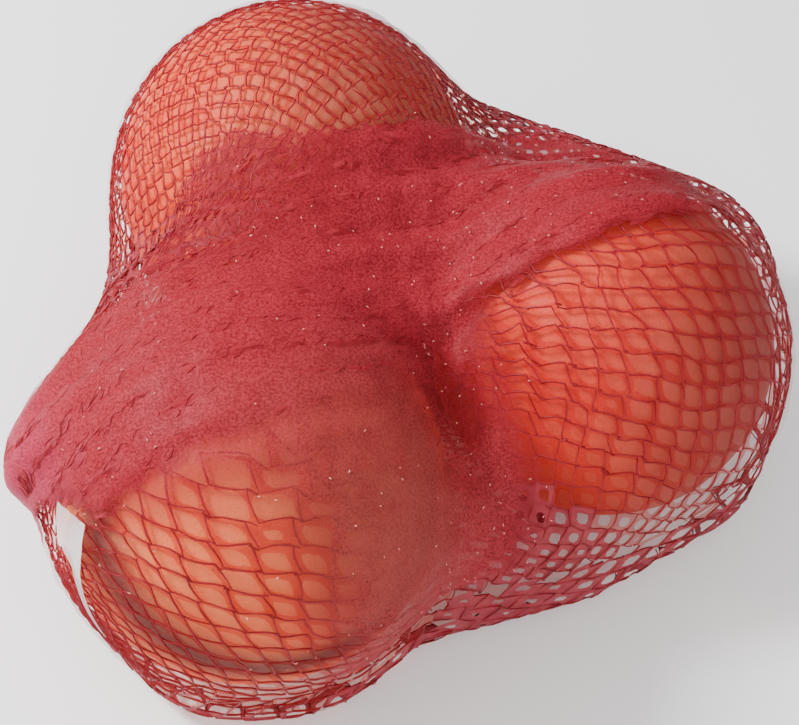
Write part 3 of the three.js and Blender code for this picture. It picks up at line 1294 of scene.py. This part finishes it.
@dataclass
class NetBag:
    """The net: one layer all round, slack over parts of it, and the mouth folded back over the top.

    Args:
        surface: The bag that it lies on.
        band_wales: Number of wales in the folded mouth.
        band: The folded mouth.
        band_core: The part of it that hides the layer below.
        drape: The slack drawn from it over the front fruit and into the cleft.
        underside: Where the net goes on under the bag.
        nose: The mouth's rolled end.
        tape: Finish of the flat tape that lies on fruit.
        yarn: Finish of the yarns round it.
        bridge: Finish of the tape that hangs clear of the fruits.
        fold_tape: Finish of the folded mouth's tape.
        fold_yarn: Finish of the folded mouth's yarns.
        veil: Finish of the veil.
        glint: Finish of the glints, a pale colour that paints their highlights.
        openness: Size of the cells' holes, as a share of the cell.
        fold_openness: The same in the folded mouth.
        nose_openness: The same in the rolled end.
        haze: Density of the finest threads on the fruits.
        band_density: Density of the veil over the folded mouth.
        drape_density: Density of the veil over the slack.
    """

    MOUTH = (-95.0, -71.0, 60.0)
    BAND_END = (106.0, 34.0, 52.0)
    BAND_START = np.array([-30.0, 54.0, 90.0])
    BAND_CROSSING = np.array([-12.0, -126.0, 0.0])
    BELT_POLAR = 95.0
    BELT_POINTS = 721
    NOSE_WALES = 56
    NOSE_START = 0.12
    EDGE_FRAY = Ripple(5, 22.0, 1.4)
    NOSE_FRAY = Ripple(5, 22.0, 1.0)
    WANDER = Ripple(31, 60.0, 3.0)
    FINE_GAUGE = Gauge(0.2, 0.45, 5.0, 0.22, 0.05)
    CAST_ON = (
        CastOn(-150.0, 5.4, -0.6, 0.019),
        CastOn(-135.0, 4.8, -0.6, 0.019),
        CastOn(-122.0, 4.2, -0.6, 0.019),
        CastOn(-96.0, 4.4, -0.6, 0.019),
        CastOn(-78.0, 4.6, -0.5, 0.019),
        CastOn(-62.0, 4.6, -0.2, 0.0135),
        CastOn(38.0, 4.6, -0.2, 0.0135),
        CastOn(54.0, 4.6, -0.22, 0.0062),
        CastOn(150.0, 4.6, -0.22, 0.0062),
        CastOn(175.0, 4.8, -0.3, 0.0062),
    )

    surface: BagSurface
    band_wales: int = 72
    band: Region = Region(
        (
            (-116, -66), (-111, -48), (-101, -40), (-88, -31), (-77, -14), (-68, 16), (-60, 31), (-47, 33),
            (-27, 30), (-5, 38), (14, 52), (29, 63), (45, 66), (59, 62), (70, 56), (84, 46), (95, 33),
            (92, 16), (78, 6), (60, -3), (38, -11), (22, -15), (8, -21), (0, -29), (-5, -43), (-16, -57),
            (-30, -66), (-42, -71), (-55, -76), (-67, -80), (-78, -84), (-86, -81), (-94, -76), (-108, -74),
        ),
        54.0,
    )
    band_core: Region = Region(
        (
            (-104, -66), (-98, -50), (-84, -36), (-70, -22), (-48, -14), (-30, 0), (-14, 18), (4, 24),
            (24, 30), (46, 32), (62, 26), (66, 12), (50, 2), (30, -4), (14, -8), (2, -18), (-10, -36),
            (-24, -54), (-44, -66), (-64, -76), (-84, -80), (-98, -76),
        ),
        60.0,
    )
    drape: Region = Region(
        (
            (-96, -70), (-97, -80), (-88, -90), (-74, -100), (-56, -106), (-40, -112), (-24, -116),
            (-6, -114), (6, -100), (22, -90), (34, -80), (39, -66), (37, -52), (31, -38), (27, -26),
            (24, -12), (0, 0), (-20, -30), (-60, -60),
        ),
        40.0,
        Ripple(7, 30.0, 2.0),
    )
    underside: Region = Region(
        (
            (-52, 82), (-22, 82), (-8, 60), (50, 26), (76, 10), (76, -16), (58, -32), (-20, -60), (-32, -76),
            (-60, -76), (-72, -56), (-66, 40),
        ),
        -1.0,
    )
    nose: Region = Region(
        (
            (-122, -60), (-106, -38), (-88, -27), (-68, -28), (-56, -50), (-60, -76), (-70, -81), (-78, -84),
            (-84, -83), (-92, -78), (-98, -75), (-110, -75), (-122, -74),
        ),
        50.0,
    )
    tape: NetFinish = NetFinish("net_tape", (0.44, 0.045, 0.055), (0.34, 0.025, 0.032), 0.45, 0.4, 0.84)
    yarn: NetFinish = NetFinish("net_yarn", (0.4, 0.022, 0.034), (0.26, 0.012, 0.02), 0.35, 0.25, shine=0.25)
    bridge: NetFinish = NetFinish(
        "net_bridges", (0.44, 0.05, 0.075), (0.32, 0.03, 0.045), 0.45, 0.4, 0.1, shine=0.2
    )
    fold_tape: NetFinish = NetFinish(
        "net_folded", (0.54, 0.04, 0.062), (0.4, 0.024, 0.04), 0.6, 0.4, 0.3, shine=0.15, grain=0.6,
        pale=(0.62, 0.085, 0.13),
    )
    fold_yarn: NetFinish = NetFinish("net_folded_yarn", (0.46, 0.026, 0.045), (0.26, 0.012, 0.022), 0.35, 0.3)
    veil: VeilFinish = VeilFinish()
    # Painted highlight: a pale pink that makes the glints bright.
    glint: NetFinish = NetFinish("net_glint", (0.92, 0.36, 0.3), (0.85, 0.26, 0.24), 0.3, 0.2)
    openness: Patchwork = Patchwork(
        0.74,
        (
            ((-56.0, -92.0, 88.0), 24.0, 0.84),
            ((60.0, -22.0, 97.0), 30.0, 0.84),
            ((-50.0, 60.0, 108.0), 40.0, 0.88),
            ((-4.0, -80.0, 80.0), 20.0, 0.4),
            ((12.0, -45.0, 70.0), 20.0, 0.3),
            ((26.0, -76.0, 24.0), 24.0, 0.22),
            ((0.0, -96.0, 30.0), 14.0, 0.14),
            ((8.0, -96.0, 6.0), 12.0, 0.06),
            ((30.0, -84.0, 4.0), 11.0, 0.06),
            ((30.0, -72.0, 38.0), 7.0, 0.6),
            ((48.0, -66.0, 26.0), 7.0, 0.6),
            ((68.0, -58.0, 16.0), 12.0, 0.7),
            ((-46.0, -108.0, 8.0), 26.0, 0.76),
            ((100.0, -20.0, 12.0), 24.0, 0.76),
            ((40.0, 68.0, 50.0), 26.0, 0.5),
            ((-96.0, 0.0, 50.0), 26.0, 0.5),
        ),
    )
    fold_openness: Patchwork = Patchwork(
        0.12, (((-62.0, 8.0, 98.0), 16.0, 0.62), ((-40.0, 20.0, 105.0), 9.0, 0.55))
    )
    nose_openness: Patchwork = Patchwork(0.15)
    haze: Patchwork = Patchwork(
        0.13,
        (
            ((102.0, -10.0, 52.0), 22.0, 0.42),
            ((4.0, 80.0, 72.0), 20.0, 0.4),
            ((-88.0, -84.0, 40.0), 16.0, 0.3),
        ),
    )
    band_density: Patchwork = Patchwork(
        0.9,
        (
            ((-62.0, 10.0, 97.0), 12.0, 0.1),
            ((-40.0, 20.0, 105.0), 9.0, 0.3),
            ((86.0, 30.0, 76.0), 16.0, 0.3),
        ),
    )
    drape_density: Patchwork = Patchwork(
        0.86,
        (
            ((-50.0, -100.0, 88.0), 11.5, 0.0),
            ((-80.0, -90.0, 64.0), 15.0, 0.12),
            ((-56.0, -106.0, 62.0), 14.0, 0.1),
            ((7.0, -40.0, 74.0), 7.0, 0.35),
        ),
    )

    def _belt(self) -> tuple[Array, Array]:
        """The bag's belt, as points, and the distance along it at each."""
        azimuth = np.linspace(0, 2 * np.pi, self.BELT_POINTS)
        polar = math.radians(self.BELT_POLAR)
        flat = np.sin(polar)
        height = np.full(self.BELT_POINTS, np.cos(polar))
        heading = np.stack([flat * np.cos(azimuth), flat * np.sin(azimuth), height], axis=-1)
        belt = self.surface.lay(self.surface.INSIDE + heading, 0.0)[0]
        run = np.concatenate([[0.0], np.cumsum(np.linalg.norm(np.diff(belt, axis=0), axis=-1))])
        return belt, run

    def _cast(self, azimuth: Array, quantity: str) -> Array:
        """A quantity of `CastOn` at each azimuth."""
        where = [cast.azimuth for cast in self.CAST_ON]
        return np.interp(azimuth, where, [getattr(cast, quantity) for cast in self.CAST_ON], period=360)

    def _cast_on(self, flow: Flow) -> tuple[Array, Array]:
        """Starts for the body's wales, and the rise of each."""
        belt, run = self._belt()
        azimuth = np.degrees(np.angle(self.surface.on_plane(belt)))
        count = np.concatenate([[0.0], np.cumsum(np.diff(run) / self._cast(azimuth[:-1], "spacing"))])
        wales = 4 * round(count[-1] / 4)
        wanted = np.arange(wales) * count[-1] / wales
        places = np.stack([np.interp(wanted, count, belt[:, i]) for i in range(3)], axis=-1)
        starts = self.surface.on_plane(places)
        azimuth = np.degrees(np.angle(starts))
        starts = flow.move_to_levels(self.surface, starts, self._cast(azimuth, "level"))
        return starts, self._cast(azimuth, "rise")

    def _body(self) -> Ply:
        """The layer all round the bag."""
        pulls = (
            (self.MOUTH, 0.42),
            ((-62.0, -50.0, 104.0), 0.1),
            ((-20.0, -10.0, 98.0), 0.23),
            ((35.0, 22.0, 98.0), 0.25),
        )
        flow = Flow(pulls)
        starts, rises = self._cast_on(flow)
        return Ply(
            self.surface,
            flow,
            starts,
            inward=100,
            outward=230,
            seed=3,
            rises=rises,
            without=(self.band_core,),
            underside=self.underside,
            stretches=(Stretch((-52.0, -92.0, 86.0), 24.0, 0.08, 0.06),),
            thin_below=1.6,
            lean=0.39,
        )

    def _fold(self) -> Ply:
        """The folded mouth's knitted layer. Its wales start on a line across it."""
        share = np.arange(self.band_wales) / self.band_wales
        return Ply(
            self.surface,
            Flow(((self.MOUTH, 1.0), (self.BAND_END, -1.0))),
            self.surface.on_plane(self.BAND_START + share[:, None] * self.BAND_CROSSING),
            inward=96,
            outward=152,
            seed=50,
            within=(replace(self.band, fray=self.EDGE_FRAY),),
            pace=1.1,
            inset=0.1,
            ring=False,
            thin_below=0.9,
            gauge=self.FINE_GAUGE,
            crumple=(
                Pleats(24.0, 9.0, 0.6, self.WANDER),
                Pleats(20.0, 4.4, 0.25, Ripple(32, 30.0, 1.6)),
                Ripple(40, 9.0, 0.2),
            ),
            drift=Ripple(60, 26.0, 1.2),
        )

    def _nose(self, number: int) -> Ply:
        """One of the two layers that close the rolled end of the mouth."""
        mouth = self.surface.on_plane(self.MOUTH)
        turn = np.exp(2j * np.pi * (np.arange(self.NOSE_WALES) + 0.5 * number) / self.NOSE_WALES)
        return Ply(
            self.surface,
            Flow(((self.MOUTH, 1.0), (self.BAND_END, -0.5)), swirl=(6.0, -9.0)[number]),
            mouth + self.NOSE_START * turn * (1 + abs(mouth) ** 2) / 2,
            inward=12,
            outward=62,
            seed=80 + number,
            within=(self.nose,),
            inset=0.2 + 0.9 * number,
            gauge=self.FINE_GAUGE,
            crumple=(Ripple(83 + number, 10.0, 0.35),),
            drift=Ripple(86 + number, 26.0, 1.0),
        )

    def _veil(self) -> Veil:
        """The dense parts: the folded mouth, its rolled end, and the slack drawn from it into the cleft."""
        parts = (
            (replace(self.band, fray=self.EDGE_FRAY), 4.0, self.band_density),
            (replace(self.nose, fray=self.NOSE_FRAY), 5.0, self.band_density),
            (self.drape, 14.0, self.drape_density),
        )
        crumple = (Pleats(24.0, 11.0, 0.35, self.WANDER), Ripple(33, 12.0, 0.3), Ripple(34, 5.0, 0.1))
        return Veil(self.surface, parts, self.haze, crumple=crumple)

    @staticmethod
    def _knit(layer: str, ply: Ply, openness: Patchwork, materials: dict[str, Material]) -> list[Piece]:
        """Knits one layer.

        Args:
            layer: The layer's name.
            ply: How it runs.
            openness: The size of its holes.
            materials: The finish of each of its pieces: its tape and yarn, and its bridges and joints if
                those are pieces of their own.

        Returns:
            The pieces.
        """
        meshes = {part: Strands() for part in materials}
        ply.knit_cells(meshes["tape"], meshes.get("bridges", meshes["tape"]), openness)
        ply.knit_wales(meshes["yarn"])
        ply.knit_courses(meshes.get("joints", meshes["yarn"]))
        return [mesh.piece(f"net_{layer}_{part}", materials[part], Slot.NET) for part, mesh in meshes.items()]

    def build(self) -> None:
        """Knits every layer, and puts them in the place of the bag's solid."""
        yarn = self.yarn.material()
        tape, bridge = self.tape.material(), self.bridge.material()
        single = {"tape": tape, "bridges": bridge, "yarn": yarn, "joints": yarn}
        folded = {"tape": self.fold_tape.material(), "yarn": self.fold_yarn.material()}
        pieces = self._knit("body", self._body(), self.openness, single)
        pieces += self._knit("folded_1", self._fold(), self.fold_openness, folded)
        for number in range(2):
            pieces += self._knit(f"nose_{number + 1}", self._nose(number), self.nose_openness, folded)
        pieces.append(self._veil().build("net_veil", self.veil.material()))
        # Pale flecks over the folded mouth, its rolled end and the slack: painted glints.
        glints = Glints(self.surface, (self.band, self.nose, self.drape))
        pieces.append(glints.build("net_glints", self.glint.material()))
        for piece in pieces:
            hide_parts(BAG_NODE)


# ---------------------------------------------------------------- the contents


@dataclass(frozen=True)
class Pomelo:
    """One fruit: nearly round, with low lumps and a sunken button where its stalk was.

    Args:
        name: The piece's name.
        centre: Its centre.
        radius: Its radius inside the net.
        button: Direction of the button from the centre.
        seed: Seed of its lumps.
        finish: Its peel.
        flatten: How much shorter it is along the button's direction, as a share.
        broad_lumps: Wavelength and height of its broad lumps, in radii.
        small_lumps: Wavelength and height of its small lumps, in radii.
        hollow: Depth and reach of the hollow round the button.
        stub: Height and reach of the button that stands in it.
    """

    SUBDIVISIONS = 6

    name: str
    centre: Point
    radius: float
    button: Point
    seed: int
    finish: PeelFinish
    flatten: float = 0.012
    broad_lumps: tuple[float, float] = (1.3, 0.006)
    small_lumps: tuple[float, float] = (0.45, 0.0022)
    hollow: tuple[float, float] = (1.1, 5.0)
    stub: tuple[float, float] = (0.9, 1.9)

    def build(self) -> None:
        """Makes the fruit in the place of the bag's solid."""
        mesh = bmesh.new()
        bmesh.ops.create_icosphere(mesh, subdivisions=self.SUBDIVISIONS, radius=1.0)
        headings = unit(np.array([v.co[:] for v in mesh.verts]))
        faces = [[v.index for v in face.verts] for face in mesh.faces]
        mesh.free()
        facing = headings @ unit(np.array(self.button))
        broad, small = Ripple(self.seed, *self.broad_lumps), Ripple(self.seed + 1, *self.small_lumps)
        lumps = broad.at(headings) + small.at(headings)
        reach = self.radius * (1 - self.flatten * facing**2 - np.abs(lumps))
        away = self.radius * np.arccos(np.clip(facing, -1, 1))
        (depth, width), (height, girth) = self.hollow, self.stub
        reach -= depth * np.exp(-((away / width) ** 2)) - height * np.exp(-((away / girth) ** 4))
        points = np.array(self.centre) + headings * reach[:, None]
        peel = self.finish.material(self.centre, self.radius)
        fruit = make_piece(self.name, points, faces, peel)
        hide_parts(BAG_NODE)


POMELOS = (
    Pomelo(
        "pomelo_back",
        BACK_PLACE,
        radius=53.6,
        button=(0.3, -0.2, 0.9),
        seed=71,
        finish=PeelFinish(
            "peel_back",
            orange=(0.76, 0.085, 0.03),
            yellow=(0.82, 0.13, 0.045),
            blush=(0.68, 0.06, 0.028),
            # Painted shade on the fruit's right side, away from the key lamp.
            painted_shade=(0.38, 0.11, 0.065),
            painted_shade_range=(-0.95, 0.35, 3.0),
        ),
    ),
    Pomelo(
        "pomelo_right",
        RIGHT_PLACE,
        radius=49.6,
        button=(-0.386, -0.848, 0.953),
        seed=72,
        finish=PeelFinish(
            "peel_right",
            orange=(0.59, 0.058, 0.032),
            yellow=(0.65, 0.08, 0.04),
            blush=(0.5, 0.04, 0.028),
            # Painted shade on the fruit's right side, away from the key lamp.
            painted_shade=(0.28, 0.075, 0.048),
        ),
    ),
    Pomelo(
        "pomelo_front",
        FRONT_PLACE,
        radius=54.1,
        button=(0.5, 0.3, -0.8),
        seed=73,
        finish=PeelFinish(
            "peel_front",
            orange=(0.76, 0.15, 0.055),
            yellow=(0.82, 0.2, 0.075),
            blush=(0.68, 0.1, 0.045),
            # Painted shade: a dark band round the fruit, its core shadow between the lit top and the
            # underside lit from the floor.
            painted_shade=(0.14, 0.05, 0.038),
            painted_shade_side=(-0.18, 0.62, -0.77),
            painted_shade_range=(-0.8, -0.58, -0.36),
        ),
    ),
)


@dataclass(frozen=True)
class FilmStrip:
    """The bare white strip of film that comes out of the mouth and lies down the front fruit's side.

    Args:
        centre: Centre of the fruit that it lies on.
        radius: Distance of the strip from that centre.
        stations: Azimuth and elevation in degrees from that centre, and width, from the top down.
        rows: Rows of points along it.
        columns: Points across it.
        creases: Number of creases along it, side by side.
        crease_depth: Their depth.
        crease_turns: Radians through which they wander from side to side along it.
        finish: Its film.
    """

    centre: Point = FRONT_PLACE
    radius: float = 56.6
    stations: tuple[tuple[float, float, float], ...] = (
        (-150.5, 28.5, 14.0),
        (-146.5, 20.5, 12.5),
        (-141.5, 14.5, 4.0),
        (-132.0, -8.5, 1.4),
    )
    rows: int = 60
    columns: int = 17
    creases: float = 3.3
    crease_depth: float = 0.7
    crease_turns: float = 5.0
    finish: FilmFinish = FilmFinish()

    def build(self) -> None:
        """Makes the strip in the place of its solid."""
        share = np.linspace(0, 1, self.rows)
        at = np.linspace(0, 1, len(self.stations))
        azimuth, elevation, width = (np.interp(share, at, column) for column in zip(*self.stations))
        azimuth, elevation = np.radians(azimuth), np.radians(elevation)
        flat = np.cos(elevation)
        out = np.stack([flat * np.cos(azimuth), flat * np.sin(azimuth), np.sin(elevation)], axis=-1)
        line = np.array(self.centre) + out * self.radius
        along = unit(np.gradient(line, axis=0))
        across = unit(np.cross(along[0], out))
        side = np.linspace(-0.5, 0.5, self.columns)
        wander = 0.5 * np.sin(self.crease_turns * share)[:, None]
        crease = np.abs((side * self.creases + wander) % 1.0 - 0.5) - 0.25
        lift = self.crease_depth * crease * (1.0 - 0.6 * share[:, None])
        spread = (side * width[:, None])[..., None]
        grid = line[:, None] + across[:, None] * spread + out[:, None] * lift[..., None]
        index = np.arange(self.rows * self.columns).reshape(self.rows, self.columns)
        quads = np.stack([index[:-1, :-1], index[:-1, 1:], index[1:, 1:], index[1:, :-1]], axis=-1)
        quads = quads.reshape(-1, 4).tolist()
        strip = make_piece("white_film_strip", grid.reshape(-1, 3), quads, self.finish.material())
        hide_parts(STRIP_NODE)


# ---------------------------------------------------------------- the studio


@dataclass(frozen=True)
class Lamp:
    """A square soft white lamp.

    Args:
        name: Its name.
        place: Where it stands.
        size: Length of its side.
        power: Its power in watts.
    """

    name: str
    place: Point
    size: float
    power: float

    def build(self, aim: Vector) -> None:
        """Lights the scene, the lamp turned to a point in metres."""
        light = bpy.data.lights.new(self.name, "AREA")
        light.shape = "SQUARE"
        light.size = self.size * MILLIMETRE
        light.energy = self.power
        light.color = WHITE
        lamp = bpy.data.objects.new(self.name, light)
        lamp.location = Vector(self.place) * MILLIMETRE
        lamp.rotation_euler = (aim - lamp.location).to_track_quat("-Z", "Y").to_euler()
        bpy.context.scene.collection.objects.link(lamp)


@dataclass(frozen=True)
class Studio:
    """Floor, light and camera.

    Args:
        target: Point that the camera looks at.
        elevation: Its height above the horizon, in degrees.
        distance: Its distance from the target.
        lens: Its focal length.
        sensor: Width of its sensor.
        nearest: Distance at which it starts to see.
        floor_size: Side of the floor.
        sky: Brightness of the white surroundings.
        lamps: The lamps.
    """

    target: Point = (-5.53, -7.18, 45.0)
    elevation: float = 55.0
    distance: float = 560.0
    lens: float = 85.79
    sensor: float = 36.0
    nearest: float = 10.0
    floor_size: float = 6000.0
    sky: float = 0.92
    lamps: tuple[Lamp, ...] = (
        Lamp("key_lamp", (-480.0, 80.0, 560.0), 180.0, 10.0),
        Lamp("fill_lamp", (300.0, -600.0, 620.0), 700.0, 4.4),
    )

    def _floor(self) -> None:
        """Lays the floor."""
        half = self.floor_size * MILLIMETRE / 2
        corners = [(-half, -half, 0), (half, -half, 0), (half, half, 0), (-half, half, 0)]
        mesh = bpy.data.meshes.new("floor")
        mesh.from_pydata(corners, [], [(0, 1, 2, 3)])
        mesh.materials.append(FloorFinish().material())
        floor = bpy.data.objects.new("floor", mesh)
        bpy.context.scene.collection.objects.link(floor)

    def _camera(self) -> None:
        """Places the camera."""
        camera_data = bpy.data.cameras.new("camera")
        camera_data.lens = self.lens
        camera_data.sensor_width = self.sensor
        camera_data.clip_start = self.nearest * MILLIMETRE
        camera = bpy.data.objects.new("camera", camera_data)
        angle = math.radians(self.elevation)
        target = Vector(self.target)
        place = target + self.distance * Vector((0.0, -math.cos(angle), math.sin(angle)))
        camera.location = place * MILLIMETRE
        camera.rotation_euler = (target - place).to_track_quat("-Z", "Y").to_euler()
        bpy.context.scene.collection.objects.link(camera)
        bpy.context.scene.camera = camera

    def _sky(self) -> None:
        """Makes the surroundings white."""
        world = bpy.data.worlds.new("white_surroundings")
        world.use_nodes = True
        background = world.node_tree.nodes["Background"]
        background.inputs["Color"].default_value = (*WHITE, 1.0)
        background.inputs["Strength"].default_value = self.sky
        bpy.context.scene.world = world

    def build(self) -> None:
        """Builds all of it."""
        self._floor()
        self._camera()
        self._sky()
        for lamp in self.lamps:
            lamp.build(Vector(self.target) * MILLIMETRE)


def main() -> None:
    """Builds the bag, its contents and the studio."""
    logging.basicConfig(level=logging.INFO, format="%(message)s")
    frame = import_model()
    Studio().build()
    for pomelo in POMELOS:
        pomelo.build()
    NetBag(BagSurface(frame["nodes"][BAG_NODE])).build()
    FilmStrip().build()


if __name__ == "__main__":
    main()
